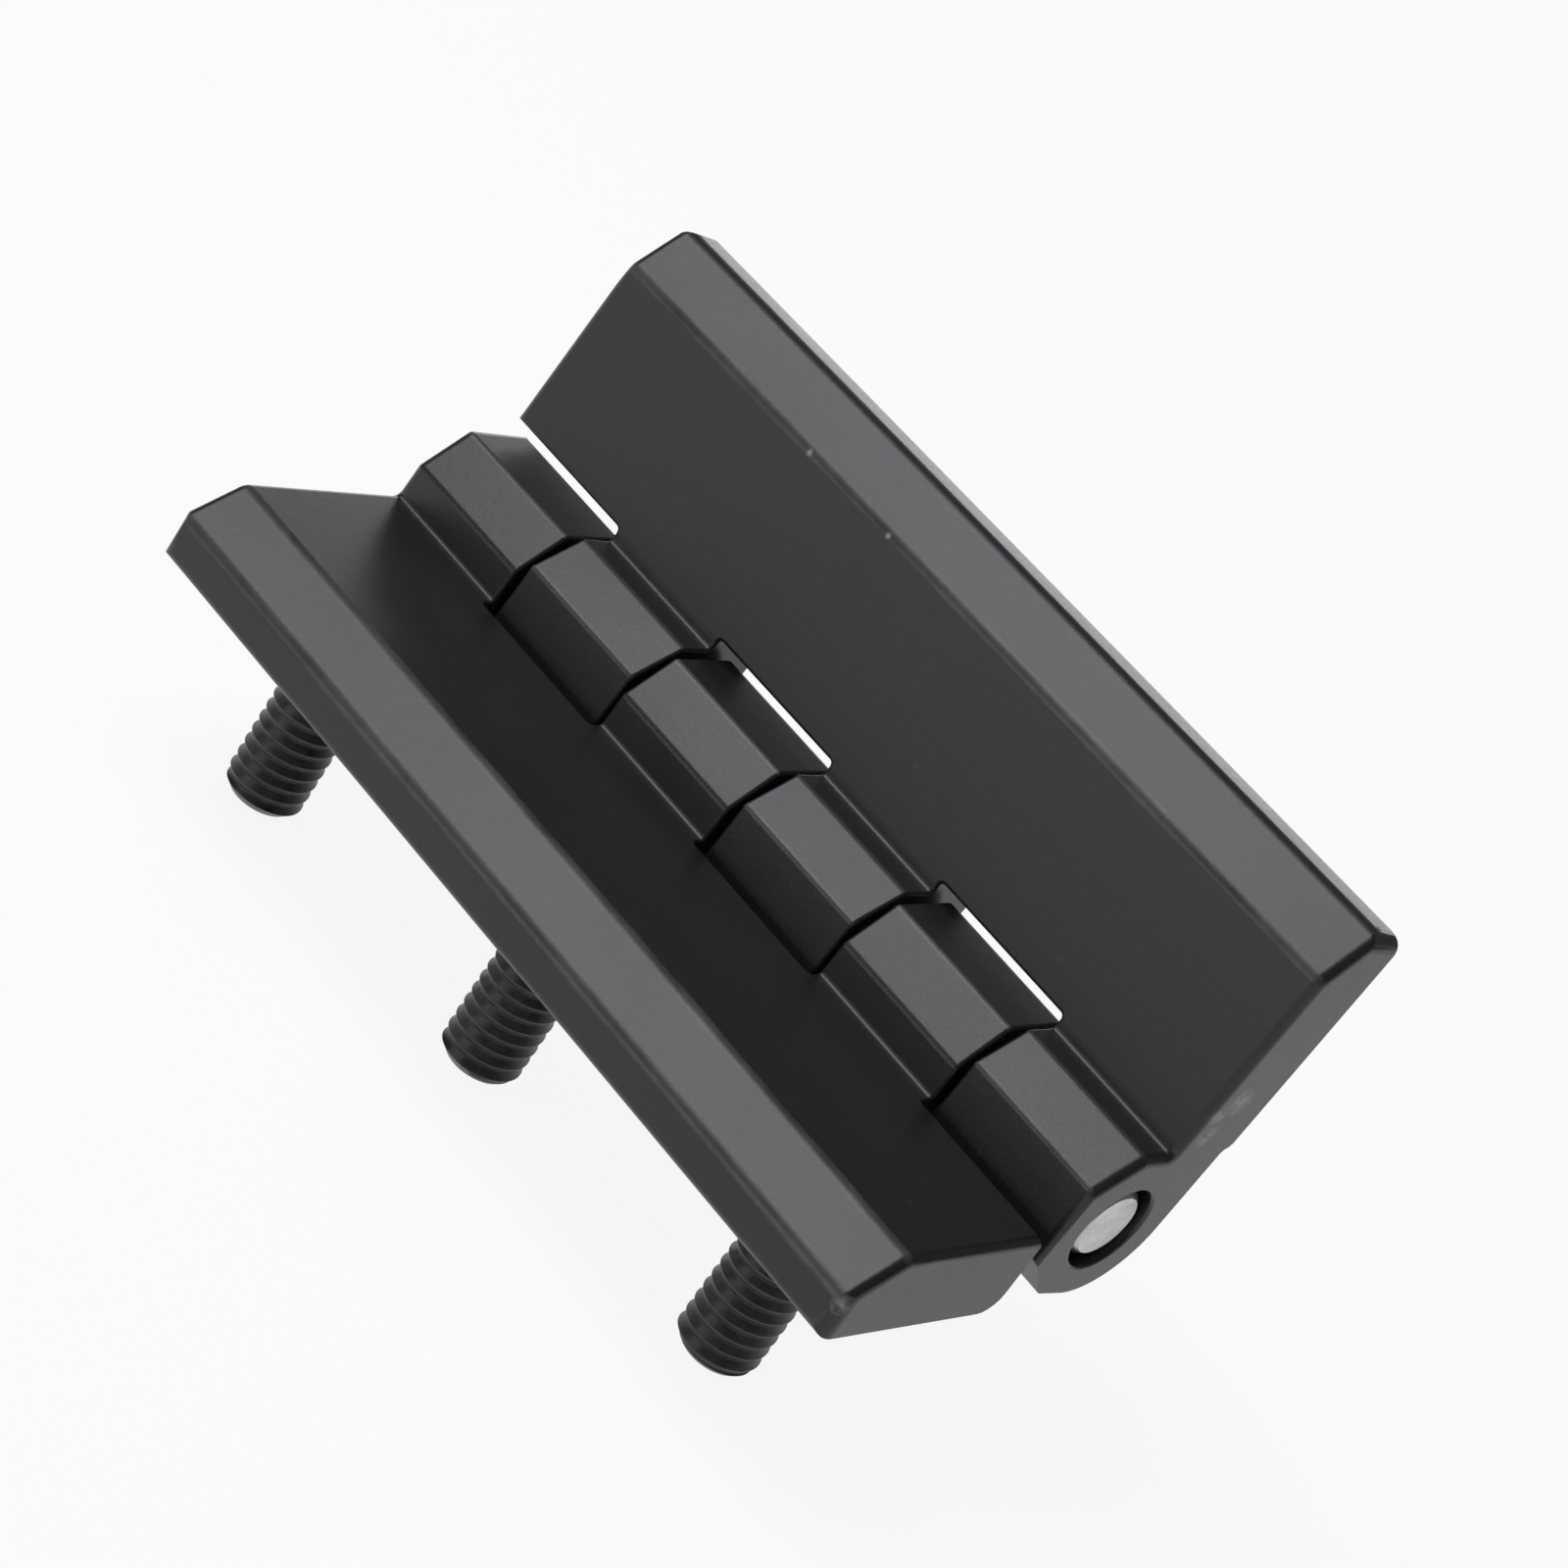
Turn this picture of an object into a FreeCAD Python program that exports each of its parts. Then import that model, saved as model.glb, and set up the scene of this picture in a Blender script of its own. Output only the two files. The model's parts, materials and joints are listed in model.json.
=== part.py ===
import math
import os

import FreeCAD
import Part

# Heavy cast cabinet hinge: two leaves, a pin, and studs to mount them by.
# Row frame, in millimetres: +Z is the fixed leaf's upward normal, +Y runs along
# the hinge axis, and the fixed leaf reaches toward -X. The origin is the middle
# of the fixed leaf's stud row, on its mounting face.

V = FreeCAD.Vector

# Leaf casting
leaf_length = 100.0
leaf_reach = 34.1
leaf_thickness = 8.4
axis_height = 8.6
outer_edge_height = 3.6
bevel_width = 5.4
ridge_radius = 1.5
outer_edge_radius = 1.1
bevel_edge_radius = 0.75
plan_corner_radius = 1.5
end_bevel = 0.6

# Knuckles
knuckle_count = 6
knuckle_gap = 0.55
barrel_radius = 7.8
far_facet_distance = 7.6
step_distance = 8.4
step_rise = 3.7
step_draft = 0.3
facet_half_width = 4.1
facet_height = 7.9
far_facet_half_width = 3.9
far_facet_low = 3.5
knuckle_edge_radius = 0.75
step_root_radius = 0.5
pocket_wall_distance = 9.8
pocket_top_radius = 0.65
pocket_bottom_radius = 2.2
pad_start = 10.1
pad_step_run = 0.6
knuckle_end_bevel = 0.45

# Hinge pin and its bores
pin_radius = 3.75
pin_running_clearance = 0.05
pin_end_recess = 0.5
pin_end_chamfer = 0.5
bore_mouth_margin = 0.75
bore_mouth_depth = 2.7
knurl_land_length = 11.0

# Mounting studs
stud_radius = 4.0
stud_pitch = 36.0
stud_count = 3
stud_distance = 20.0
stud_projection = 17.5
stud_root_radius = 4.8
stud_root_length = 6.0
stud_tip_chamfer = 0.9

# Cored pockets in the mounting face
pocket_width = 6.9
pocket_rib = 2.4
pocket_boss_margin = 3.4
pocket_depth = 4.8
pocket_corner_radius = 1.7

# Angle by which the moving leaf is folded up from flat
fold_angle = 83.7


def rounded_wire(corners, y):
    """Closed wire of straight lines with a tangent arc at each corner (u, w, radius)."""
    points = [V(c[0], y, c[1]) for c in corners]
    starts = []
    ends = []
    arcs = []
    for k, here in enumerate(points):
        radius = corners[k][2]
        to_last = (points[k - 1] - here).normalize()
        to_next = (points[(k + 1) % len(points)] - here).normalize()
        if radius <= 0.0:
            starts.append(here)
            ends.append(here)
            arcs.append(None)
            continue
        half = to_last.getAngle(to_next) / 2.0
        reach = radius / math.tan(half)
        toward_centre = (to_last + to_next).normalize()
        middle = here + toward_centre * (radius / math.sin(half) - radius)
        starts.append(here + to_last * reach)
        ends.append(here + to_next * reach)
        arcs.append(Part.Arc(starts[-1], middle, ends[-1]).toShape())
    edges = []
    for k in range(len(points)):
        if arcs[k] is not None:
            edges.append(arcs[k])
        following = starts[(k + 1) % len(points)]
        if (following - ends[k]).Length > 1e-6:
            edges.append(Part.makeLine(ends[k], following))
    return Part.Wire(edges)


def prism(corners, y_start, y_end):
    """Solid of one cross-section, from y_start to y_end."""
    face = Part.Face(rounded_wire(corners, y_start))
    return face.extrude(V(0, y_end - y_start, 0))


def edges_at(shape, y):
    """Edges that lie in the plane at one y."""
    found = []
    for edge in shape.Edges:
        box = edge.BoundBox
        if abs(box.YMin - y) < 1e-4 and abs(box.YMax - y) < 1e-4:
            found.append(edge)
    return found


def plate_section():
    """Cross-section of the flat plate; u runs outward from the hinge axis."""
    top = leaf_thickness - axis_height
    return [
        (pocket_wall_distance, top, pocket_top_radius),
        (pocket_wall_distance, -axis_height, pocket_bottom_radius),
        (leaf_reach, -axis_height, outer_edge_radius),
        (leaf_reach, -axis_height + outer_edge_height, bevel_edge_radius),
        (leaf_reach - bevel_width, top, ridge_radius),
    ]


def knuckle_section():
    """Cross-section of one knuckle with the web that runs into the plate."""
    top = leaf_thickness - axis_height
    web_end = pocket_wall_distance + bore_mouth_depth
    return [
        (web_end, top, 0.0),
        (step_distance, top, step_root_radius),
        (step_distance - step_draft, top + step_rise, knuckle_edge_radius),
        (facet_half_width, facet_height, knuckle_edge_radius),
        (-far_facet_half_width, facet_height, knuckle_edge_radius),
        (-far_facet_distance, far_facet_low, knuckle_edge_radius),
        (-far_facet_distance, -barrel_radius, far_facet_distance),
        (pad_start - pad_step_run, -barrel_radius, 0.0),
        (pad_start, -axis_height, 0.0),
        (web_end, -axis_height, 0.0),
    ]


def knuckle_span(slot):
    """Start and end of one knuckle, counted from the end at -Y."""
    pitch = leaf_length / knuckle_count
    start = -leaf_length / 2.0 + slot * pitch
    end = start + pitch
    if slot > 0:
        start = start + knuckle_gap / 2.0
    if slot < knuckle_count - 1:
        end = end - knuckle_gap / 2.0
    return start, end


def knuckle(slot):
    """One knuckle, its inner ends bevelled."""
    start, end = knuckle_span(slot)
    body = prism(knuckle_section(), start, end)
    edges = []
    if slot > 0:
        edges = edges + edges_at(body, start)
    if slot < knuckle_count - 1:
        edges = edges + edges_at(body, end)
    return body.makeChamfer(knuckle_end_bevel, edges)


def corner_tool(side):
    """Cutter that rounds the upright corner where the outer edge meets one end."""
    radius = plan_corner_radius
    centre = V(leaf_reach - radius, side * (leaf_length / 2.0 - radius), -axis_height)
    block = Part.makeBox(2.0 * radius, 2.0 * radius, leaf_thickness, centre)
    if side < 0:
        block.translate(V(0, -2.0 * radius, 0))
    return block.cut(Part.makeCylinder(radius, leaf_thickness, centre))


def stud_rows():
    """Y of each stud."""
    middle = (stud_count - 1) / 2.0
    return [(k - middle) * stud_pitch for k in range(stud_count)]


def cored_pocket(u_start, y_start, y_end):
    """Core that leaves one pocket with rounded corners in the mounting face."""
    base = Part.makeBox(pocket_width, y_end - y_start, pocket_depth)
    base.translate(V(u_start, y_start, -axis_height))
    uprights = [e for e in base.Edges if e.BoundBox.ZLength > pocket_depth - 1e-4]
    return base.makeFillet(pocket_corner_radius, uprights)


def cored_pockets():
    """Pairs of pockets between neighbouring studs, with a rib in each pair."""
    cores = []
    rows = stud_rows()
    first_u = stud_distance - pocket_rib / 2.0 - pocket_width
    second_u = stud_distance + pocket_rib / 2.0
    for k in range(stud_count - 1):
        y_start = rows[k] + stud_radius + pocket_boss_margin
        y_end = rows[k + 1] - stud_radius - pocket_boss_margin
        cores.append(cored_pocket(first_u, y_start, y_end))
        cores.append(cored_pocket(second_u, y_start, y_end))
    return cores


def leaf():
    """One leaf casting about its own hinge axis, knuckles from the -Y end."""
    half = leaf_length / 2.0
    body = prism(plate_section(), -half, half)
    knuckles = [knuckle(slot) for slot in range(0, knuckle_count, 2)]
    body = body.fuse(knuckles).removeSplitter()
    rims = edges_at(body, -half) + edges_at(body, half)
    body = body.makeChamfer(end_bevel, rims)
    bore_radius = pin_radius + pin_running_clearance
    cuts = [Part.makeCylinder(bore_radius, leaf_length, V(0, -half, 0), V(0, 1, 0))]
    mouth_radius = pin_radius + bore_mouth_margin
    cuts.append(Part.makeCylinder(mouth_radius, bore_mouth_depth, V(0, -half, 0), V(0, 1, 0)))
    for y in stud_rows():
        foot = V(stud_distance, y, -axis_height)
        cuts.append(Part.makeCylinder(stud_root_radius, stud_root_length, foot))
    cuts = cuts + [corner_tool(-1), corner_tool(1)]
    return body.cut(cuts + cored_pockets())


def stud(y):
    """One stud in the leaf's own axes: knurled root above, free end below."""
    foot = V(stud_distance, y, -axis_height)
    root = Part.makeCylinder(stud_root_radius, stud_root_length, foot)
    shank = Part.makeCylinder(stud_radius, stud_projection, foot, V(0, 0, -1))
    low = foot.z - stud_projection
    tip = [e for e in shank.Edges if e.BoundBox.ZMax < low + 1e-4]
    return root.fuse(shank.makeChamfer(stud_tip_chamfer, tip)).removeSplitter()


def hinge_pin():
    """Straight pin with two knurled lands held in the fixed leaf's knuckles."""
    half = leaf_length / 2.0 - pin_end_recess
    body = Part.makeCylinder(pin_radius, 2.0 * half, V(0, -half, 0), V(0, 1, 0))
    rims = [e for e in body.Edges if e.BoundBox.YLength < 1e-4]
    body = body.makeChamfer(pin_end_chamfer, rims)
    land_radius = pin_radius + pin_running_clearance
    lands = []
    for slot in (1, knuckle_count - 1):
        start, end = knuckle_span(slot)
        if slot == knuckle_count - 1:
            end = end - bore_mouth_depth
        middle = (start + end) / 2.0
        foot = V(0, middle - knurl_land_length / 2.0, 0)
        lands.append(Part.makeCylinder(land_radius, knurl_land_length, foot, V(0, 1, 0)))
    return body.fuse(lands)


def on_fixed_side(shape):
    """Turn a leaf-side shape half round, so that it reaches toward -X."""
    placed = shape.copy()
    placed.rotate(V(0, 0, 0), V(0, 0, 1), 180.0)
    placed.translate(V(stud_distance, 0, axis_height))
    return placed


def on_moving_side(shape):
    """Fold a leaf-side shape up about the hinge axis."""
    placed = shape.copy()
    placed.rotate(V(0, 0, 0), V(0, -1, 0), fold_angle)
    placed.translate(V(stud_distance, 0, axis_height))
    return placed


def along_axis(shape):
    """Place a shape that lies on the hinge axis."""
    placed = shape.copy()
    placed.translate(V(stud_distance, 0, axis_height))
    return placed


def build():
    os.makedirs("parts", exist_ok=True)
    casting = leaf()
    on_fixed_side(casting).exportStep("parts/fixed_leaf.step")
    on_moving_side(casting).exportStep("parts/moving_leaf.step")
    along_axis(hinge_pin()).exportStep("parts/hinge_pin.step")
    for k, y in enumerate(stud_rows()):
        on_fixed_side(stud(-y)).exportStep("parts/fixed_stud_%d.step" % (k + 1))
        on_moving_side(stud(y)).exportStep("parts/moving_stud_%d.step" % (k + 1))


build()
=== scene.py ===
"""Dressed model of a heavy cast cabinet hinge, half folded, on a pale floor.

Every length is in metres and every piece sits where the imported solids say.
"""

import json
import math

import bmesh
import bpy
from mathutils import Euler, Matrix, Vector


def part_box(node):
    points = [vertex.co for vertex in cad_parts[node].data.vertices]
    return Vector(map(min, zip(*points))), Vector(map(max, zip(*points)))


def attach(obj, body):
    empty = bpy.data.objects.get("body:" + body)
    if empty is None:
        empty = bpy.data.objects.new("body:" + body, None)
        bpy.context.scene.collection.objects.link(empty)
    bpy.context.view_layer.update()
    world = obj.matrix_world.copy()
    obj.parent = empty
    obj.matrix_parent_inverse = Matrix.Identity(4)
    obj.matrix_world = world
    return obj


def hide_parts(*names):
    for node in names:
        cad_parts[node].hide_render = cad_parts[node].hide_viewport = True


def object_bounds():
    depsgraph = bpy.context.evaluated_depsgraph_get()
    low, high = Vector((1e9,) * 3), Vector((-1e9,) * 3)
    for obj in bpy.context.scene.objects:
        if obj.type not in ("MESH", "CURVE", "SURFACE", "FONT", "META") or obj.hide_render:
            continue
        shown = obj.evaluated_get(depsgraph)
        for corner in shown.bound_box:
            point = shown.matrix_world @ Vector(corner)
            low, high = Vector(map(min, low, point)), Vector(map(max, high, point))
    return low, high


bl_info = {
    "name": "Cast Cabinet Hinge",
    "version": (1, 0, 0),
    "blender": (4, 5, 0),
    "location": "View3D > Sidebar > Hinge",
    "description": "Two cast leaves, a steel pin and threaded studs, with their finishes",
    "category": "Add Mesh",
}

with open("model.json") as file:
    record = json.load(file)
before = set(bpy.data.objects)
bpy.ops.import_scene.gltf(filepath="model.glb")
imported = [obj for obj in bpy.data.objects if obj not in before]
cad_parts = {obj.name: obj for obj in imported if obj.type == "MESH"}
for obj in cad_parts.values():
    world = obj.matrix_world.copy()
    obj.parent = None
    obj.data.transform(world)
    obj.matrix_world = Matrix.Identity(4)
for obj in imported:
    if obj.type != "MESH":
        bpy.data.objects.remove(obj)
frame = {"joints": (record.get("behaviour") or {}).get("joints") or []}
CAD_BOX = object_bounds()
JOINT = frame["joints"][0]
AXIS = Vector(JOINT["pos_m"])
FOLD = -math.radians(JOINT["range_deg"][0])
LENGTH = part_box("fixed_leaf")[1][1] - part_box("fixed_leaf")[0][1]
REACH = AXIS.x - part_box("fixed_leaf")[0][0]
KNUCKLES = 6
STUDS = 3
TINY = 1e-6
MERGE = 1e-7
SKIN = 0.0002
OVERRUN = 0.001
FACETS = 96
THREAD_STEPS = 56
FLANK_SHARE = 0.40
CREST_SHARE = 0.08
SHARP = math.radians(28.0)
THREAD_SMOOTH = math.radians(43.0)
CAMERA_LENS = 97.826
CAMERA_PLACE = (-0.28561, -0.17541, 0.16942)
CAMERA_RIGHT = (0.610687, -0.595263, 0.52223)
CAMERA_DOWN = (-0.000115, -0.659554, -0.751657)
CAMERA_AHEAD = (0.791872, 0.458967, -0.402849)


def size_property(name, description, default):
    """A length in metres that a user may change."""
    return bpy.props.FloatProperty(
        name=name, description=description, default=default, min=0.0,
        precision=5, subtype="DISTANCE", unit="LENGTH")


def colour_property(name, description, default):
    """A linear colour that a user may change."""
    return bpy.props.FloatVectorProperty(
        name=name, description=description, default=default, size=3,
        min=0.0, max=1.0, subtype="COLOR")


class HingeLeafSizes(bpy.types.PropertyGroup):
    """Sizes of the leaf casting, measured from the hinge axis."""
    thickness: size_property("Thickness", "Plate thickness", 0.0084)
    edge: size_property("Edge", "Height of the upright outer edge", 0.0044)
    bevel: size_property("Bevel", "Width of the long sloping bevel", 0.0054)
    wall: size_property("Wall", "Axis to the plate's inner wall", 0.0098)
    step: size_property("Step", "Axis to the foot of the knuckle's step", 0.0084)
    step_rise: size_property("Step rise", "Height of the knuckle's step", 0.0037)
    step_draft: size_property("Step draft", "Lean of the step over its height", 0.0003)
    facet: size_property("Facet", "Half width of the knuckle's top, near side", 0.0041)
    far_facet: size_property("Far facet", "Half width of the knuckle's top, far side", 0.0039)
    far_low: size_property("Far facet foot", "Height at which the far facet ends", 0.0035)
    top: size_property("Knuckle top", "Height of the knuckle's top over the axis", 0.0079)
    barrel: size_property("Barrel", "Radius of the knuckle's round side", 0.0078)
    pad: size_property("Pad", "Axis to the edge of the mounting pad", 0.0101)
    pad_run: size_property("Pad step", "Width of the slope up from the pad", 0.0006)
    gap: size_property("Gap", "Space between neighbouring knuckles", 0.00055)
    far_side: size_property("Far side", "Axis to the knuckle's upright far side", 0.0076)
    round_edge: size_property("Edge rounding", "Rounding of the casting's edges", 0.0004)
    round_end: size_property("End rounding", "Rounding of the upper rims at both ends", 0.0010)
    round_ridge: size_property("Ridge rounding", "Rounding of the long ridge", 0.0006)
    round_bevel: size_property("Bevel rounding", "Rounding of the outer edge's upper side", 0.0009)
    round_outer: size_property("Outer rounding", "Rounding of the outer edge's lower side", 0.0010)
    round_corner: size_property("Corner rounding", "Rounding of the plate's outer corners", 0.0018)
    round_pocket: size_property("Pocket rounding", "Rounding under the plate's inner wall", 0.0022)
    pocket_width: size_property("Pocket width", "Width of each cored pocket", 0.0069)
    pocket_rib: size_property("Pocket rib", "Rib between two pockets", 0.0024)
    pocket_depth: size_property("Pocket depth", "Depth of each cored pocket", 0.0048)
    pocket_margin: size_property("Boss wall", "Metal left round a stud", 0.0034)
    pocket_corner: size_property("Pocket corner", "Corner rounding of a pocket", 0.0017)
    web_lap: size_property("Web lap", "How far a knuckle's web runs into the plate", 0.0027)
    lower_rim: size_property("Lower rim", "Depth below which the end rims stay crisp", 0.0078)
    knuckle_rim: size_property("Knuckle rim", "Axis to where a knuckle's rims turn crisp", 0.0045)
    knuckle_end: size_property("Knuckle end", "Axis to where a rim is the plate's own", 0.012)


class HingeSteelSizes(bpy.types.PropertyGroup):
    """Sizes of the pin and the studs."""
    pin: size_property("Pin radius", "Radius of the hinge pin", 0.00375)
    pin_recess: size_property("Pin recess", "Depth of the pin's end in its bore", 0.0005)
    pin_chamfer: size_property("Pin chamfer", "Chamfer on the pin's ends", 0.0005)
    knurl: size_property("Knurl height", "Height of the knurl that grips the casting", 0.00005)
    knurl_half: size_property("Knurl half length", "Half the length of a knurled band", 0.0055)
    knurl_inset: size_property("Knurl inset", "Slope at the side of a tooth", 0.00003)
    pin_gap: size_property("Pin gap", "Clearance of the pin in its bore", 0.00006)
    root_gap: size_property("Root gap", "Clearance of a root in its socket", 0.00004)
    mouth: size_property("Bore mouth", "Radius of the wider bore mouth", 0.0045)
    mouth_depth: size_property("Mouth depth", "Depth of the wider bore mouth", 0.0027)
    stud: size_property("Stud radius", "Outer radius of the stud's thread", 0.004)
    root: size_property("Root radius", "Radius of the root inside the casting", 0.0048)
    root_length: size_property("Root length", "Length of the root inside the casting", 0.006)
    reach: size_property("Stud length", "Length of the stud outside the casting", 0.0175)
    row: size_property("Stud row", "Axis to the row of studs", AXIS.x)
    pitch: size_property("Stud pitch", "Distance between neighbouring studs", 0.036)
    thread: size_property("Thread pitch", "Advance of the thread in one turn", 0.00141)
    thread_depth: size_property("Thread depth", "Depth of the thread", 0.0005)
    tip: size_property("Stud chamfer", "Chamfer on the stud's tip", 0.0009)


class HingeFinish(bpy.types.PropertyGroup):
    """Colours of the finishes, linear."""
    coat: colour_property("Coat", "Satin black coat on the castings", (0.0105, 0.011, 0.012))
    # This colour paints the pale specks and also the pale lines along the ridges and edges, which
    # are partly wear and partly painted highlight.
    dust_and_highlight: colour_property("Dust", "Pale specks on the coat", (0.13, 0.13, 0.13))
    chip: colour_property("Chip", "Bare metal where the coat is chipped", (0.42, 0.42, 0.41))
    steel: colour_property("Steel", "Zinc plating on the pin", (0.52, 0.53, 0.52))
    stud: colour_property("Stud", "Blackened steel of the studs", (0.024, 0.024, 0.026))
    floor: colour_property("Floor", "Pale floor", (0.86, 0.86, 0.86))


# Shader maths


class Value:
    """One socket of a node tree; arithmetic on it adds Math nodes."""

    def __init__(self, tree, socket):
        self.tree = tree
        self.socket = socket

    def math(self, operation, *others):
        node = self.tree.nodes.new("ShaderNodeMath")
        node.operation = operation
        for slot, item in zip(node.inputs, (self,) + others):
            if isinstance(item, Value):
                self.tree.links.new(item.socket, slot)
            else:
                slot.default_value = item
        return Value(self.tree, node.outputs[0])

    def __add__(self, other):
        return self.math("ADD", other)

    __radd__ = __add__

    def __mul__(self, other):
        return self.math("MULTIPLY", other)

    __rmul__ = __mul__

    def __sub__(self, other):
        return self.math("SUBTRACT", other)

    def __rsub__(self, other):
        return (self * -1.0) + other

    def __truediv__(self, other):
        return self.math("DIVIDE", other)

    def __pow__(self, other):
        return self.math("POWER", other)

    def clamp(self):
        return self.math("MAXIMUM", 0.0).math("MINIMUM", 1.0)

    def ramp(self, low, high):
        """0 below low and 1 above high, straight between them."""
        return ((self - low) / (high - low)).clamp()


class Finish:
    """A material under construction."""

    def __init__(self, name):
        self.material = bpy.data.materials.new(name)
        self.material.use_nodes = True
        self.tree = self.material.node_tree
        self.shader = self.tree.nodes["Principled BSDF"]
        place = self.node("ShaderNodeTexCoord")
        self.place = place.outputs["Object"]
        split = self.node("ShaderNodeSeparateXYZ", {}, {"Vector": self.place})
        self.x, self.y, self.z = (Value(self.tree, s) for s in split.outputs)

    def node(self, kind, settings=None, inputs=None):
        """A node with its settings made first and then its sockets filled or linked."""
        node = self.tree.nodes.new(kind)
        for name, value in (settings or {}).items():
            setattr(node, name, value)
        for name, value in (inputs or {}).items():
            slot = node.inputs[name]
            if isinstance(value, Value):
                self.tree.links.new(value.socket, slot)
            elif isinstance(value, bpy.types.NodeSocket):
                self.tree.links.new(value, slot)
            else:
                slot.default_value = value
        return node

    def noise(self, scale, detail=2.0, rough=0.5, stretch=(1.0, 1.0, 1.0)):
        """Noise about 1/scale metres across, stretched along an axis where wanted."""
        mapped = self.node("ShaderNodeMapping", {}, {"Vector": self.place, "Scale": stretch})
        node = self.node("ShaderNodeTexNoise", {}, {
            "Vector": mapped.outputs[0], "Scale": scale, "Detail": detail, "Roughness": rough})
        return Value(self.tree, node.outputs[0])

    def mix(self, factor, first, second):
        """Colour between two colours."""
        node = self.tree.nodes.new("ShaderNodeMix")
        node.data_type = "RGBA"
        slots = (node.inputs[0], node.inputs[6], node.inputs[7])
        for slot, item in zip(slots, (factor, first, second)):
            if isinstance(item, Value):
                self.tree.links.new(item.socket, slot)
            elif isinstance(item, bpy.types.NodeSocket):
                self.tree.links.new(item, slot)
            elif isinstance(item, (int, float)):
                slot.default_value = item
            else:
                slot.default_value = (*item, 1.0)
        return node.outputs[2]

    def near(self, spot, radius, soft=0.5):
        """1 within a radius of a spot, fading out over a share of the radius."""
        away = (self.x - spot[0]) ** 2.0 + (self.y - spot[1]) ** 2.0 + (self.z - spot[2]) ** 2.0
        return 1.0 - away.math("SQRT").ramp(radius * (1.0 - soft), radius)

    def along(self, x, z, radius):
        """1 on a line along Y at one x and z, fading out at a radius."""
        away = (self.x - x) ** 2.0 + (self.z - z) ** 2.0
        return 1.0 - away.math("SQRT").ramp(radius * 0.3, radius)

    def bump(self, height, distance, strength=1.0):
        node = self.node("ShaderNodeBump", {}, {
            "Height": height, "Distance": distance, "Strength": strength})
        self.tree.links.new(node.outputs[0], self.shader.inputs["Normal"])

    def feed(self, **sockets):
        """Sets or links the shader's own sockets."""
        for name, item in sockets.items():
            slot = self.shader.inputs[name.replace("_", " ").title().replace("Ior", "IOR")]
            if isinstance(item, Value):
                self.tree.links.new(item.socket, slot)
            elif isinstance(item, bpy.types.NodeSocket):
                self.tree.links.new(item, slot)
            else:
                slot.default_value = item


def moving_place(u, y, w):
    """Place in the row frame of a point of the moving leaf."""
    along = Vector((math.cos(FOLD), 0.0, math.sin(FOLD)))
    up = Vector((-math.sin(FOLD), 0.0, math.cos(FOLD)))
    return AXIS + along * u + up * w + Vector((0.0, y, 0.0))


def fixed_place(u, y, w):
    """Place in the row frame of a point of the fixed leaf."""
    return AXIS + Vector((-u, y, w))


def coat_finish(finish, sizes):
    """Satin black coat with fine grain, faint dusty specks, small chips, and pale lines along the
    ridges and edges that are partly wear and partly painted highlight.
    """
    m = Finish("satin_black_coat")
    cloud = m.noise(45.0, 3.0)
    grain = m.noise(2600.0, 2.0, 0.6)
    peel = m.noise(620.0, 2.0, 0.45)
    speck = m.noise(900.0, 1.0, 0.4).ramp(0.76, 0.80)
    ragged = m.noise(1000.0, 4.0, 0.8).ramp(0.40, 0.56)
    chips = None
    spots = [
        (moving_place(0.0151, -0.0500, -0.0036), 0.0019),
        (moving_place(0.0111, -0.0500, -0.0027), 0.0014),
        (moving_place(0.0135, -0.0500, -0.0019), 0.0013),
        (moving_place(0.0285, 0.0214, -0.0003), 0.0005),
        (moving_place(0.0284, 0.0095, -0.0002), 0.0004),
        (fixed_place(0.0336, -0.0497, -0.0052), 0.0011),
    ]
    for spot, radius in spots:
        mark = m.near(spot, radius, 0.9) * ragged
        chips = mark if chips is None else chips.math("MAXIMUM", mark)
    top = sizes.thickness - AXIS.z
    # Ridges and edges that get a pale line: partly wear, partly painted highlight on the rounded
    # edges.
    ridge = REACH - sizes.bevel
    edges = [
        (moving_place(ridge, 0.0, top), 0.0011),
        (fixed_place(ridge, 0.0, top), 0.0011),
        (fixed_place(REACH, 0.0, sizes.edge - AXIS.z), 0.0012),
        (moving_place(sizes.facet, 0.0, sizes.top), 0.0006),
        (fixed_place(sizes.facet, 0.0, sizes.top), 0.0006),
    ]
    wear_and_highlight = None
    for place, radius in edges:
        line = m.along(place.x, place.z, radius)
        wear_and_highlight = line if wear_and_highlight is None else wear_and_highlight.math("MAXIMUM", line)
    broken = m.noise(230.0, 4.0, 0.75, (1.0, 0.35, 1.0))
    wear_and_highlight = (wear_and_highlight + (broken - 0.5) * 1.6).ramp(0.55, 1.2)
    base = m.mix(cloud.ramp(0.35, 0.7), finish.coat, [c * 1.35 for c in finish.coat])
    base = m.mix(speck * 0.08, base, finish.dust_and_highlight)
    # Pale lines along the ridges and edges: partly wear, partly painted highlight.
    base = m.mix(wear_and_highlight * 0.42, base, finish.dust_and_highlight)
    base = m.mix(chips * 0.8, base, finish.chip)
    m.feed(base_color=base, roughness=0.35 + (cloud - 0.5) * 0.10 + (grain - 0.5) * 0.10,
           specular_ior_level=0.5)
    m.bump(grain * 0.6 + peel * 0.9, 0.00003, 0.5)
    return m.material


def pin_finish(finish):
    """Bright plated steel, turned in fine rings on the pin's ends."""
    m = Finish("plated_steel")
    away = ((m.x - AXIS.x) ** 2.0 + (m.z - AXIS.z) ** 2.0).math("SQRT")
    rings = (away * 26000.0).math("SINE")
    smear = m.noise(500.0, 3.0, 0.6)
    stain = smear.ramp(0.35, 0.75)
    m.feed(base_color=m.mix(stain, finish.steel, [c * 0.78 for c in finish.steel]),
           metallic=1.0, roughness=0.30 + stain * 0.16)
    m.bump(rings * 0.25 + smear, 0.00002, 0.5)
    return m.material


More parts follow.
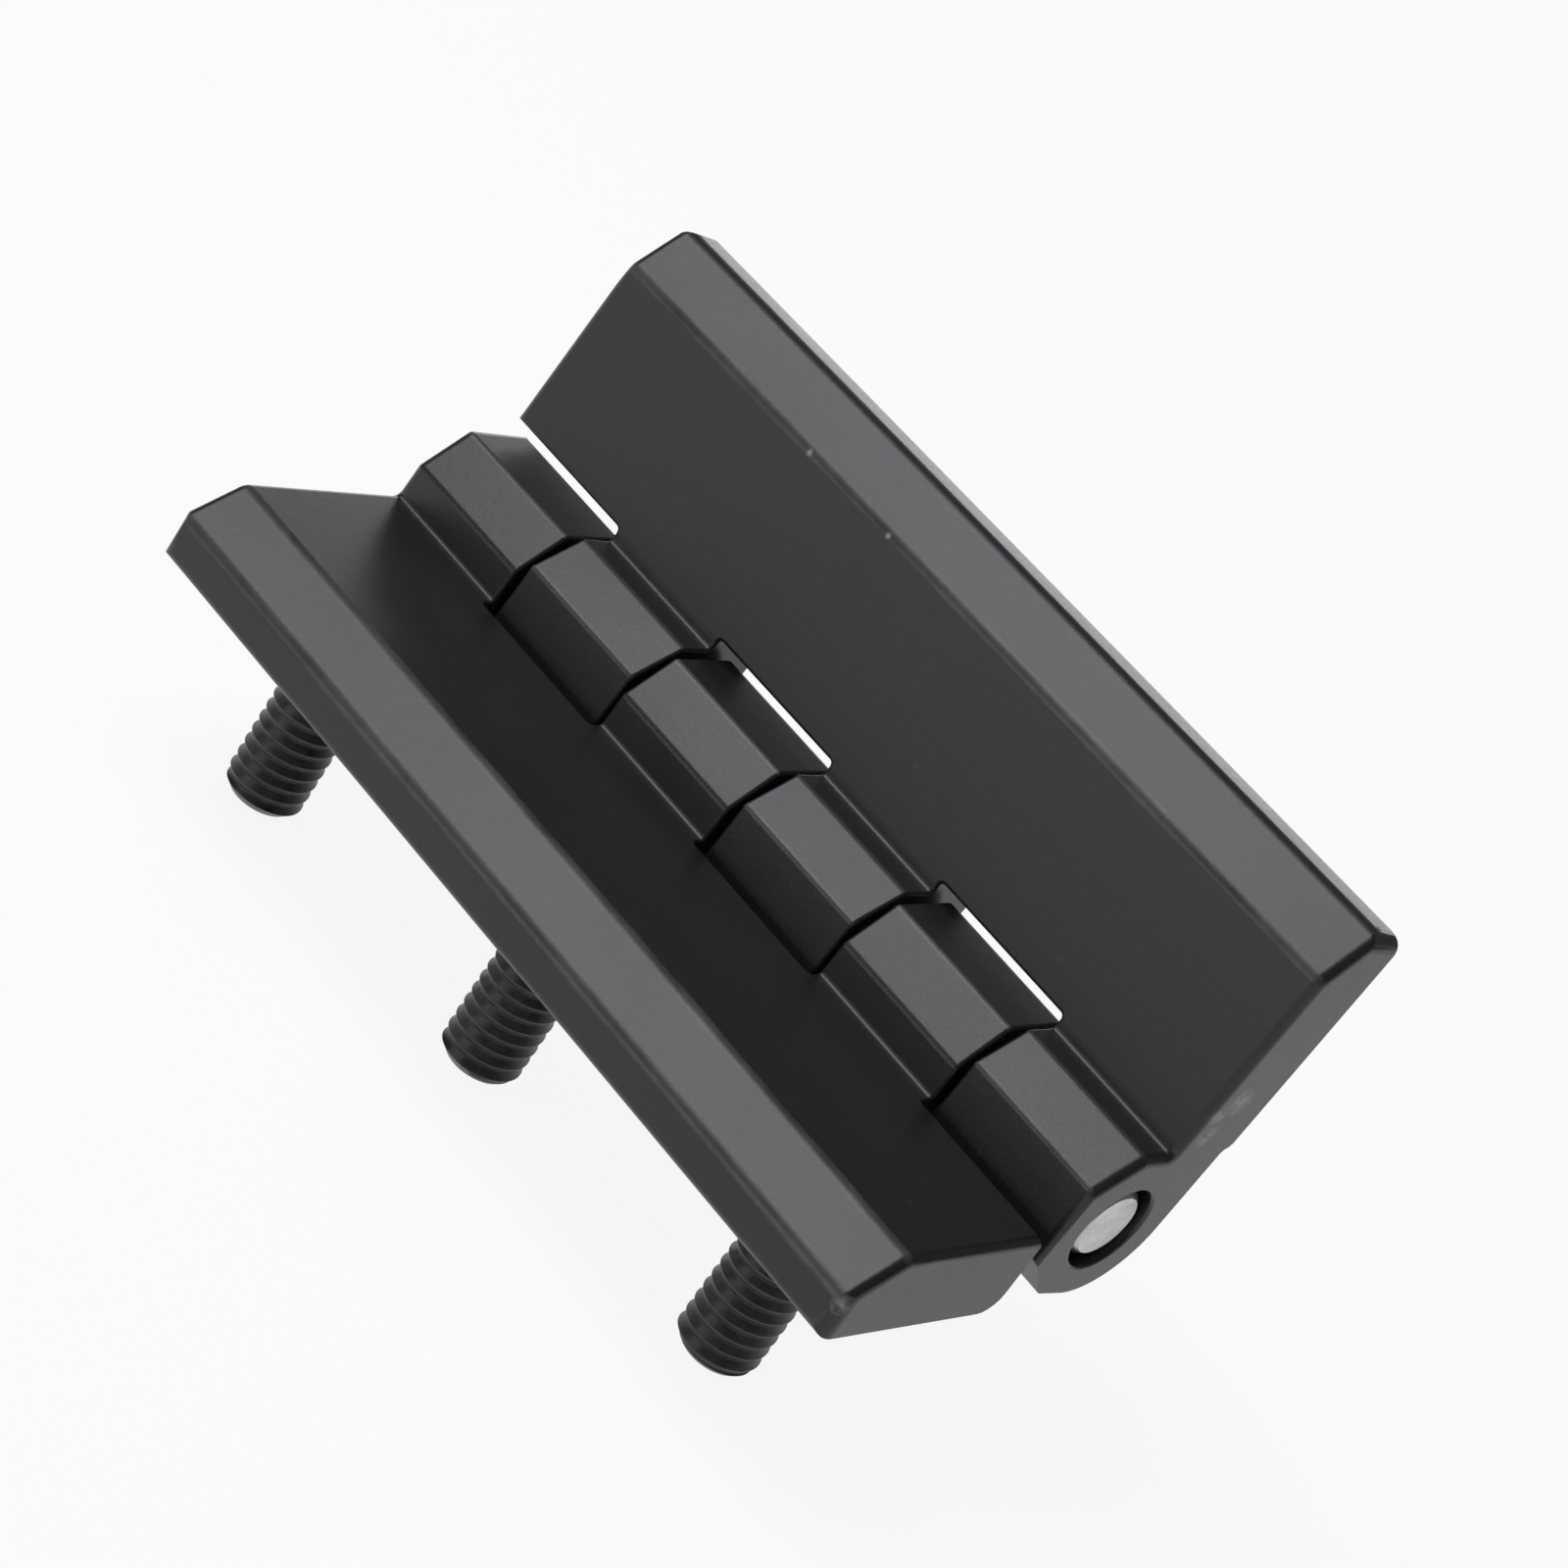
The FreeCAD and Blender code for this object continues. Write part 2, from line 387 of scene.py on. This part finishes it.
def stud_finish(finish):
    """Blackened steel, a little oily, lighter in random patches."""
    m = Finish("blackened_steel")
    grime = m.noise(700.0, 3.0, 0.6)
    fine = m.noise(4000.0, 2.0)
    base = m.mix(grime.ramp(0.4, 0.75), finish.stud, [c * 2.2 for c in finish.stud])
    m.feed(base_color=base, metallic=0.35, roughness=0.37 + (grime - 0.5) * 0.2)
    m.bump(fine, 0.000012, 0.5)
    return m.material


def floor_finish(finish):
    """Pale floor that the camera and reflections see almost white."""
    m = Finish("pale_floor")
    paths = m.node("ShaderNodeLightPath")
    seen = Value(m.tree, paths.outputs["Is Camera Ray"]).math(
        "MAXIMUM", Value(m.tree, paths.outputs["Is Glossy Ray"]))
    seen = seen.math("MAXIMUM", Value(m.tree, paths.outputs["Is Transmission Ray"]))
    glow = m.node("ShaderNodeEmission", {}, {"Color": (1.0, 1.0, 1.0, 1.0), "Strength": 1.0})
    both = m.node("ShaderNodeMixShader")
    m.tree.links.new((seen * 0.9).socket, both.inputs[0])
    m.tree.links.new(m.shader.outputs[0], both.inputs[1])
    m.tree.links.new(glow.outputs[0], both.inputs[2])
    m.tree.links.new(both.outputs[0], m.tree.nodes["Material Output"].inputs[0])
    grain = m.noise(30.0, 2.0)
    m.feed(base_color=m.mix(grain * 0.05, finish.floor, (0.8, 0.8, 0.8)), roughness=0.7)
    return m.material


# Modelling by hand


def rest():
    """Object mode, with nothing selected."""
    if bpy.context.object and bpy.context.object.mode != "OBJECT":
        bpy.ops.object.mode_set(mode="OBJECT")
    bpy.ops.object.select_all(action="DESELECT")


def edit(obj, kind="VERT"):
    """Edit mode on one object, with nothing selected in it."""
    rest()
    obj.select_set(True)
    bpy.context.view_layer.objects.active = obj
    bpy.ops.object.mode_set(mode="EDIT")
    bpy.ops.mesh.select_mode(type=kind)
    bpy.ops.mesh.select_all(action="DESELECT")


def pick(obj, kind, test):
    """Selects the elements of the edited mesh whose own test holds."""
    shell = bmesh.from_edit_mesh(obj.data)
    for item in {"VERT": shell.verts, "EDGE": shell.edges, "FACE": shell.faces}[kind]:
        item.select_set(bool(test(item)))
    shell.select_flush_mode()
    bmesh.update_edit_mesh(obj.data)


def named(name):
    """The new object, under its own name."""
    obj = bpy.context.object
    obj.name = name
    obj.data.name = name
    return obj


def outline(name, corners, y):
    """A flat face drawn corner by corner in the plane at one y."""
    rest()
    first = Vector((corners[0][0], y, corners[0][1]))
    bpy.ops.mesh.primitive_plane_add(size=0.001, location=first)
    obj = named(name)
    bpy.ops.object.transform_apply(location=True, rotation=True, scale=True)
    edit(obj)
    bpy.ops.mesh.select_all(action="SELECT")
    bpy.ops.mesh.merge(type="CENTER")
    for here, following in zip(corners, corners[1:]):
        bpy.ops.mesh.extrude_vertices_move(TRANSFORM_OT_translate={
            "value": (following[0] - here[0], 0.0, following[1] - here[1])})
    bpy.ops.mesh.select_all(action="SELECT")
    bpy.ops.mesh.edge_face_add()
    return obj


def round_corner(obj, corner, offset, segments):
    """Rounds one corner of a drawn face."""
    pick(obj, "VERT", lambda v: abs(v.co.x - corner[0]) < TINY and abs(v.co.z - corner[1]) < TINY)
    bpy.ops.mesh.bevel(offset=offset, segments=segments, affect="VERTICES")


def draw_out(obj, length):
    """Pulls a drawn face out along Y into a closed solid."""
    bpy.ops.mesh.select_mode(type="FACE")
    bpy.ops.mesh.select_all(action="SELECT")
    bpy.ops.mesh.extrude_region_move(TRANSFORM_OT_translate={"value": (0.0, length, 0.0)})
    bpy.ops.mesh.select_all(action="SELECT")
    bpy.ops.mesh.normals_make_consistent(inside=False)
    rest()
    return obj


def apply(obj, kind, **settings):
    """Adds a modifier, sets it and applies it."""
    rest()
    obj.select_set(True)
    bpy.context.view_layer.objects.active = obj
    modifier = obj.modifiers.new(kind.title(), kind)
    for name, value in settings.items():
        setattr(modifier, name, value)
    bpy.ops.object.modifier_apply(modifier=modifier.name)


def combine(obj, tool, operation):
    """Joins or cuts one solid with another, which is used up."""
    apply(obj, "BOOLEAN", operation=operation, object=tool, solver="EXACT")
    bpy.data.meshes.remove(tool.data)


def tidy_faces(obj):
    """Merges faces that lie in one plane."""
    edit(obj)
    bpy.ops.mesh.select_all(action="SELECT")
    bpy.ops.mesh.remove_doubles(threshold=MERGE)
    bpy.ops.mesh.dissolve_limited(angle_limit=math.radians(0.4))
    rest()


def rod(name, radius, start, end, vertices=96):
    """A closed cylinder along Y."""
    rest()
    bpy.ops.mesh.primitive_cylinder_add(
        vertices=vertices, radius=radius, depth=end - start,
        location=(0.0, (start + end) / 2.0, 0.0), rotation=(math.pi / 2.0, 0.0, 0.0))
    obj = named(name)
    bpy.ops.object.transform_apply(location=True, rotation=True, scale=True)
    return obj


def post(name, radius, low, high, vertices=72, at=(0.0, 0.0)):
    """A closed cylinder along Z."""
    rest()
    bpy.ops.mesh.primitive_cylinder_add(
        vertices=vertices, radius=radius, depth=high - low,
        location=(at[0], at[1], (low + high) / 2.0))
    obj = named(name)
    bpy.ops.object.transform_apply(location=True, rotation=True, scale=True)
    return obj


def settle(obj, turn, place):
    """Turns and moves a piece, and applies both to its mesh."""
    rest()
    obj.select_set(True)
    bpy.context.view_layer.objects.active = obj
    obj.rotation_euler = Euler(turn)
    obj.location = place
    bpy.ops.object.transform_apply(location=True, rotation=True, scale=True)


def smooth(obj, degrees):
    """Smooth shading up to an angle, with flat faces kept flat up to their edges."""
    rest()
    obj.select_set(True)
    bpy.context.view_layer.objects.active = obj
    bpy.ops.object.shade_smooth_by_angle(angle=math.radians(degrees))
    apply(obj, "WEIGHTED_NORMAL", mode="FACE_AREA", weight=50, keep_sharp=True)


def copy_of(obj, name):
    """A second piece with a mesh of its own."""
    twin = obj.copy()
    twin.data = obj.data.copy()
    twin.name = name
    twin.data.name = name
    bpy.context.scene.collection.objects.link(twin)
    return twin


def dress(obj, material, body, slot, *nodes):
    """Gives a piece its finish and body and hides the solids it stands for; the slot is not used.
    """
    obj.data.materials.clear()
    obj.data.materials.append(material)
    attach(obj, body)
    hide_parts(*nodes)


def knuckle_span(sizes, slot):
    """Start and end of one knuckle, counted from the end at -Y."""
    start = LENGTH * (slot / KNUCKLES - 0.5)
    end = start + LENGTH / KNUCKLES
    if slot > 0:
        start += sizes.gap / 2.0
    if slot < KNUCKLES - 1:
        end -= sizes.gap / 2.0
    return start, end


def leaf_plate(sizes):
    """The flat plate with its long bevel and rounded outer edge."""
    h = AXIS.z
    top = sizes.thickness - h
    corners = [(sizes.wall, top), (sizes.wall, -h), (REACH, -h),
               (REACH, sizes.edge - h), (REACH - sizes.bevel, top)]
    obj = outline("leaf_plate", corners, -LENGTH / 2.0)
    draw_out(obj, LENGTH)
    edit(obj, "EDGE")
    ridge = REACH - sizes.bevel
    pick(obj, "EDGE", lambda e: all(abs(v.co.x - ridge) < TINY for v in e.verts))
    bpy.ops.mesh.bevel(offset=sizes.round_ridge, segments=5, affect="EDGES")
    upper_side = -h / 2.0 - OVERRUN

    def outer(edge):
        return along_y(edge) and edge.verts[0].co.x > REACH - TINY

    def inner(edge):
        return along_y(edge) and edge.verts[0].co.x < sizes.wall + TINY

    def bottom(edge):
        return edge.verts[0].co.z < TINY - h

    rounds = [(lambda e: outer(e) and e.verts[0].co.z > upper_side, sizes.round_bevel),
              (lambda e: outer(e) and bottom(e), sizes.round_outer),
              (lambda e: inner(e) and bottom(e), sizes.round_pocket)]
    for test, radius in rounds:
        pick(obj, "EDGE", test)
        bpy.ops.mesh.bevel(offset=radius, segments=5, affect="EDGES")
    rest()
    return obj


def along_y(edge):
    """Whether an edge runs along the hinge axis."""
    run = edge.verts[1].co - edge.verts[0].co
    return abs(run.y) > 0.999 * run.length


def corner_tool(sizes, side):
    """Cutter that rounds the upright corner where the outer edge meets one end."""
    radius = sizes.round_corner
    x = REACH - radius
    y = side * (LENGTH / 2.0 - radius)
    rest()
    bpy.ops.mesh.primitive_cube_add(size=1.0, location=(
        x + radius, y + side * radius, -AXIS.z + sizes.thickness / 2.0))
    block = named("corner_block")
    block.scale = (2.0 * radius, 2.0 * radius, sizes.thickness + 2.0 * OVERRUN)
    bpy.ops.object.transform_apply(location=True, rotation=True, scale=True)
    low = -AXIS.z - 2.0 * OVERRUN
    high = low + sizes.thickness + 4.0 * OVERRUN
    combine(block, post("corner_core", radius, low, high, 48, (x, y)), "DIFFERENCE")
    return block


def leaf_knuckle(sizes, slot):
    """One faceted knuckle with the web that runs into the plate."""
    h = AXIS.z
    top = sizes.thickness - h
    web = sizes.wall + sizes.web_lap
    round_foot = (-sizes.far_side, -sizes.barrel)
    corners = [
        (web, top), (sizes.step, top), (sizes.step - sizes.step_draft, top + sizes.step_rise),
        (sizes.facet, sizes.top), (-sizes.far_facet, sizes.top), (-sizes.far_side, sizes.far_low),
        round_foot, (sizes.pad - sizes.pad_run, -sizes.barrel), (sizes.pad, -h), (web, -h)]
    start, end = knuckle_span(sizes, slot)
    obj = outline("leaf_knuckle", corners, start)
    round_corner(obj, round_foot, sizes.far_side, 26)
    return draw_out(obj, end - start)


def leaf_cores(sizes, steel):
    """The cutters for the pockets and stud sockets of the mounting face."""
    cutters = []
    low = -AXIS.z - OVERRUN
    high = sizes.pocket_depth - AXIS.z
    for k in (-1, 0):
        start = k * steel.pitch + steel.stud + sizes.pocket_margin
        end = (k + 1) * steel.pitch - steel.stud - sizes.pocket_margin
        for first in (steel.row - sizes.pocket_rib / 2.0 - sizes.pocket_width,
                      steel.row + sizes.pocket_rib / 2.0):
            rest()
            bpy.ops.mesh.primitive_cube_add(size=1.0, location=(
                first + sizes.pocket_width / 2.0, (start + end) / 2.0, (low + high) / 2.0))
            obj = named("pocket_core")
            obj.scale = (sizes.pocket_width, end - start, high - low)
            bpy.ops.object.transform_apply(location=True, rotation=True, scale=True)
            edit(obj, "EDGE")
            pick(obj, "EDGE", lambda e: abs(e.verts[0].co.z - e.verts[1].co.z) > 0.001)
            bpy.ops.mesh.bevel(offset=sizes.pocket_corner, segments=6, affect="EDGES")
            rest()
            cutters.append(obj)
    for k in (-1, 0, 1):
        cutters.append(post("socket_core", steel.root + steel.root_gap, low,
                            steel.root_length - AXIS.z, 72, (steel.row, k * steel.pitch)))
    return cutters


def leaf_casting(sizes, steel):
    """One leaf about its own hinge axis, ready to be turned to either side."""
    obj = leaf_plate(sizes)
    for slot in range(0, KNUCKLES, 2):
        combine(obj, leaf_knuckle(sizes, slot), "UNION")
    tidy_faces(obj)
    half = LENGTH / 2.0
    bore = rod("bore_core", steel.pin + steel.pin_gap, -half - OVERRUN, half + OVERRUN)
    combine(obj, bore, "DIFFERENCE")
    mouth = rod("mouth_core", steel.mouth, -half - OVERRUN, -half + steel.mouth_depth)
    combine(obj, mouth, "DIFFERENCE")
    for core in leaf_cores(sizes, steel):
        combine(obj, core, "DIFFERENCE")
    tidy_faces(obj)
    edit(obj, "EDGE")
    bpy.ops.mesh.edges_select_sharp(sharpness=SHARP)
    bpy.ops.transform.edge_bevelweight(value=sizes.round_edge / sizes.round_end)
    pick(obj, "EDGE", lambda e: on_rim(e, steel.mouth) and upper(e, sizes))
    bpy.ops.transform.edge_bevelweight(value=1.0)
    pick(obj, "EDGE", lambda e: under_wall(e, sizes)
         or (on_rim(e, steel.mouth) and not upper(e, sizes)))
    bpy.ops.transform.edge_bevelweight(value=-1.0)
    rest()
    apply(obj, "BEVEL", width=sizes.round_end, segments=4, limit_method="WEIGHT",
          use_clamp_overlap=False, miter_outer="MITER_ARC")
    for side in (-1.0, 1.0):
        combine(obj, corner_tool(sizes, side), "DIFFERENCE")
    smooth(obj, 40.0)
    return obj


def under_wall(edge, sizes):
    """Whether an edge lies where a knuckle's side runs out into the rounding under the wall."""
    ends = [v.co for v in edge.verts]
    high = sizes.round_pocket - AXIS.z
    inside = all(sizes.wall - 1e-5 < c.x < sizes.wall + sizes.round_pocket + 0.001 for c in ends)
    return inside and all(c.z < high and abs(c.y) < LENGTH / 2.0 - 0.001 for c in ends)


def on_rim(edge, mouth):
    """Whether an edge lies on the rim of one end, away from the bore's mouth."""
    ends = [v.co for v in edge.verts]
    at_end = all(abs(abs(c.y) - LENGTH / 2.0) < TINY for c in ends)
    outside = any(math.hypot(c.x, c.z) > mouth + SKIN for c in ends)
    return at_end and outside and edge.calc_face_angle(0.0) > 0.4


def upper(edge, sizes):
    """Whether an edge of a rim lies above the crisp lower edges."""
    def above(c):
        low = sizes.lower_rim if c.x > sizes.knuckle_end else sizes.knuckle_rim
        return c.x > -sizes.knuckle_rim and c.z > -low

    return all(above(v.co) for v in edge.verts)


class HINGE_OT_leaves(bpy.types.Operator):
    """Model the leaf casting once and set it on both sides of the hinge"""
    bl_idname = "hinge.leaves"
    bl_label = "Leaves"

    def execute(self, context):
        scene = context.scene
        casting = leaf_casting(scene.hinge_leaf, scene.hinge_steel)
        material = coat_finish(scene.hinge_finish, scene.hinge_leaf)
        other = copy_of(casting, "moving_leaf_casting")
        casting.name = "fixed_leaf_casting"
        settle(casting, (0.0, 0.0, math.pi), AXIS)
        settle(other, (0.0, -FOLD, 0.0), AXIS)
        dress(casting, material, "fixed", "leaf_coat", "fixed_leaf")
        dress(other, material, "moving", "leaf_coat", "moving_leaf")
        return {"FINISHED"}


class HINGE_OT_pin(bpy.types.Operator):
    """Model the hinge pin with chamfered ends and two knurled bands"""
    bl_idname = "hinge.pin"
    bl_label = "Pin"

    def execute(self, context):
        steel = context.scene.hinge_steel
        half = LENGTH / 2.0 - steel.pin_recess
        obj = rod("pin_with_knurl", steel.pin, -half, half, FACETS)
        bands = []
        for slot in (1, KNUCKLES - 1):
            start, end = knuckle_span(context.scene.hinge_leaf, slot)
            if slot == KNUCKLES - 1:
                end -= steel.mouth_depth
            middle = (start + end) / 2.0
            bands.append((middle - steel.knurl_half, middle + steel.knurl_half))
        edit(obj, "EDGE")
        pick(obj, "EDGE", lambda e: abs(e.verts[0].co.y - e.verts[1].co.y) < TINY)
        bpy.ops.mesh.bevel(offset=steel.pin_chamfer, segments=1, affect="EDGES")
        for band in bands:
            for y in band:
                bpy.ops.mesh.select_all(action="SELECT")
                bpy.ops.mesh.bisect(plane_co=(0.0, y, 0.0), plane_no=(0.0, 1.0, 0.0))
        bpy.ops.mesh.select_mode(type="FACE")

        def on_band(face):
            middle = face.calc_center_median()
            turn = math.degrees(math.atan2(middle.z, middle.x)) * FACETS / 360.0
            inside = any(low < middle.y < high for low, high in bands)
            return inside and abs(face.normal.y) < 0.5 and math.floor(turn) % 2 == 0

        pick(obj, "FACE", on_band)
        bpy.ops.mesh.inset(thickness=steel.knurl_inset, depth=steel.knurl, use_individual=True)
        rest()
        obj.select_set(True)
        bpy.context.view_layer.objects.active = obj
        bpy.ops.object.shade_smooth_by_angle(angle=math.radians(25.0))
        settle(obj, (0.0, 0.0, 0.0), AXIS)
        dress(obj, pin_finish(context.scene.hinge_finish), "fixed", "pin_steel", "hinge_pin")
        return {"FINISHED"}


def threaded_stud(steel):
    """One stud about its own axis: root above the mounting face, thread below."""
    rest()
    crest = steel.stud
    trough = steel.stud - steel.thread_depth
    low = -steel.reach - steel.thread
    turns = math.ceil((steel.reach + 4.0 * steel.thread) / steel.thread)
    flank = steel.thread * FLANK_SHARE
    flat = steel.thread * CREST_SHARE
    bpy.ops.mesh.primitive_plane_add(size=0.0004, location=(trough, 0.0, low))
    thread = named("thread_form")
    bpy.ops.object.transform_apply(location=True, rotation=True, scale=True)
    edit(thread)
    bpy.ops.mesh.select_all(action="SELECT")
    bpy.ops.mesh.merge(type="CENTER")
    moves = [(crest - trough, flank), (0.0, flat), (trough - crest, flank),
             (0.0, steel.thread - 2.0 * flank - flat)]
    for across, up in moves:
        bpy.ops.mesh.extrude_vertices_move(TRANSFORM_OT_translate={"value": (across, 0.0, up)})
    rest()
    apply(thread, "SCREW", axis="Z", angle=2.0 * math.pi, screw_offset=steel.thread,
          iterations=turns, steps=THREAD_STEPS, render_steps=THREAD_STEPS, use_merge_vertices=True,
          merge_threshold=MERGE, use_smooth_shade=True)
    edit(thread, "EDGE")
    bpy.ops.mesh.select_all(action="SELECT")
    bpy.ops.mesh.remove_doubles(threshold=TINY)
    bpy.ops.mesh.select_all(action="DESELECT")
    bpy.ops.mesh.select_non_manifold(extend=False)
    shell = bmesh.from_edit_mesh(thread.data)
    middle = sum(v.co.z for v in shell.verts) / len(shell.verts)
    for below in (True, False):
        pick(thread, "EDGE", lambda e: e.is_boundary and (e.verts[0].co.z < middle) == below)
        bpy.ops.mesh.edge_face_add()
    bpy.ops.mesh.select_all(action="SELECT")
    bpy.ops.mesh.normals_make_consistent(inside=False)
    rest()
    blank = post("stud_blank", crest + SKIN, -steel.reach, 0.0003, FACETS)
    edit(blank, "EDGE")
    pick(blank, "EDGE", lambda e: all(v.co.z < -steel.reach + TINY for v in e.verts))
    bpy.ops.mesh.bevel(offset=steel.tip + SKIN, segments=1, affect="EDGES")
    rest()
    combine(thread, blank, "INTERSECT")
    root = post("stud_root", steel.root, 0.00002, steel.root_length, 72)
    combine(thread, root, "UNION")
    rest()
    thread.select_set(True)
    bpy.context.view_layer.objects.active = thread
    bpy.ops.object.shade_smooth_by_angle(angle=THREAD_SMOOTH)
    return thread


class HINGE_OT_studs(bpy.types.Operator):
    """Model one threaded stud and set it in each socket of both leaves"""
    bl_idname = "hinge.studs"
    bl_label = "Studs"

    def execute(self, context):
        steel = context.scene.hinge_steel
        first = threaded_stud(steel)
        material = stud_finish(context.scene.hinge_finish)
        for k in range(STUDS):
            y = (k - 1) * steel.pitch
            left = copy_of(first, "fixed_threaded_stud_%d" % (k + 1))
            turn = math.radians(40.0 + 75.0 * k)
            settle(left, (0.0, 0.0, turn), fixed_place(steel.row, y, -AXIS.z))
            dress(left, material, "fixed", "stud_black", "fixed_stud_%d" % (k + 1))
            right = copy_of(first, "moving_threaded_stud_%d" % (k + 1))
            settle(right, (0.0, -FOLD, 0.0), moving_place(steel.row, y, -AXIS.z))
            dress(right, material, "moving", "stud_black", "moving_stud_%d" % (k + 1))
        bpy.data.objects.remove(first)
        return {"FINISHED"}


def soft_lamp(name, place, target, size, power, colour=(1.0, 1.0, 1.0)):
    """A square lamp that faces a point."""
    data = bpy.data.lights.new(name, "AREA")
    data.shape = "RECTANGLE"
    data.size, data.size_y = size
    data.energy = power
    data.color = colour
    lamp = bpy.data.objects.new(name, data)
    lamp.location = place
    lamp.rotation_euler = (Vector(target) - Vector(place)).to_track_quat("-Z", "Y").to_euler()
    bpy.context.scene.collection.objects.link(lamp)


class HINGE_OT_stage(bpy.types.Operator):
    """Add the pale floor, the soft lamps and the camera"""
    bl_idname = "hinge.stage"
    bl_label = "Stage"

    def execute(self, context):
        scene = context.scene
        rest()
        low = CAD_BOX[0][2] - 0.0004
        bpy.ops.mesh.primitive_plane_add(size=12.0, location=(0.0, 0.0, low))
        floor = named("floor")
        floor.data.materials.append(floor_finish(scene.hinge_finish))
        centre = (0.01, 0.0, 0.012)
        soft_lamp("overhead", (-0.23, 0.27, 0.65), centre, (0.55, 0.55), 4.0, (0.92, 0.96, 1.0))
        soft_lamp("left_side", (-0.80, 0.30, 0.10), centre, (0.5, 0.15), 0.6)
        soft_lamp("far_side", (1.24, 0.66, 0.22), centre, (1.2, 0.5), 4.2)
        world = bpy.data.worlds.new("studio") if scene.world is None else scene.world
        scene.world = world
        world.use_nodes = True
        world.node_tree.nodes["Background"].inputs[0].default_value = (1.0, 1.0, 1.0, 1.0)
        world.node_tree.nodes["Background"].inputs[1].default_value = 0.14
        camera = bpy.data.objects.new("camera", bpy.data.cameras.new("camera"))
        camera.data.sensor_width = 36.0
        camera.data.lens = CAMERA_LENS
        camera.data.clip_start = 0.01
        camera.data.clip_end = 20.0
        turn = Matrix((Vector(CAMERA_RIGHT), -Vector(CAMERA_DOWN), -Vector(CAMERA_AHEAD)))
        camera.matrix_world = Matrix.Translation(CAMERA_PLACE) @ turn.transposed().to_4x4()
        scene.collection.objects.link(camera)
        scene.camera = camera
        scene.view_settings.view_transform = "Standard"
        return {"FINISHED"}


class HINGE_PT_panel(bpy.types.Panel):
    """Buttons for the hinge's pieces and its sizes"""
    bl_idname = "HINGE_PT_panel"
    bl_label = "Cast cabinet hinge"
    bl_space_type = "VIEW_3D"
    bl_region_type = "UI"
    bl_category = "Hinge"

    def draw(self, context):
        layout = self.layout
        for operator in OPERATORS:
            layout.operator(operator.bl_idname)
        scene = context.scene
        for group in (scene.hinge_leaf, scene.hinge_steel, scene.hinge_finish):
            box = layout.box()
            for name in group.__annotations__:
                box.prop(group, name)


OPERATORS = (HINGE_OT_leaves, HINGE_OT_pin, HINGE_OT_studs, HINGE_OT_stage)
CLASSES = (HingeLeafSizes, HingeSteelSizes, HingeFinish) + OPERATORS + (HINGE_PT_panel,)


def register():
    for item in CLASSES:
        bpy.utils.register_class(item)
    bpy.types.Scene.hinge_leaf = bpy.props.PointerProperty(type=HingeLeafSizes)
    bpy.types.Scene.hinge_steel = bpy.props.PointerProperty(type=HingeSteelSizes)
    bpy.types.Scene.hinge_finish = bpy.props.PointerProperty(type=HingeFinish)


def unregister():
    del bpy.types.Scene.hinge_leaf
    del bpy.types.Scene.hinge_steel
    del bpy.types.Scene.hinge_finish
    for item in reversed(CLASSES):
        bpy.utils.unregister_class(item)


def main():
    register()
    bpy.ops.hinge.leaves()
    bpy.ops.hinge.pin()
    bpy.ops.hinge.studs()
    bpy.ops.hinge.stage()


if __name__ == "__main__":
    main()
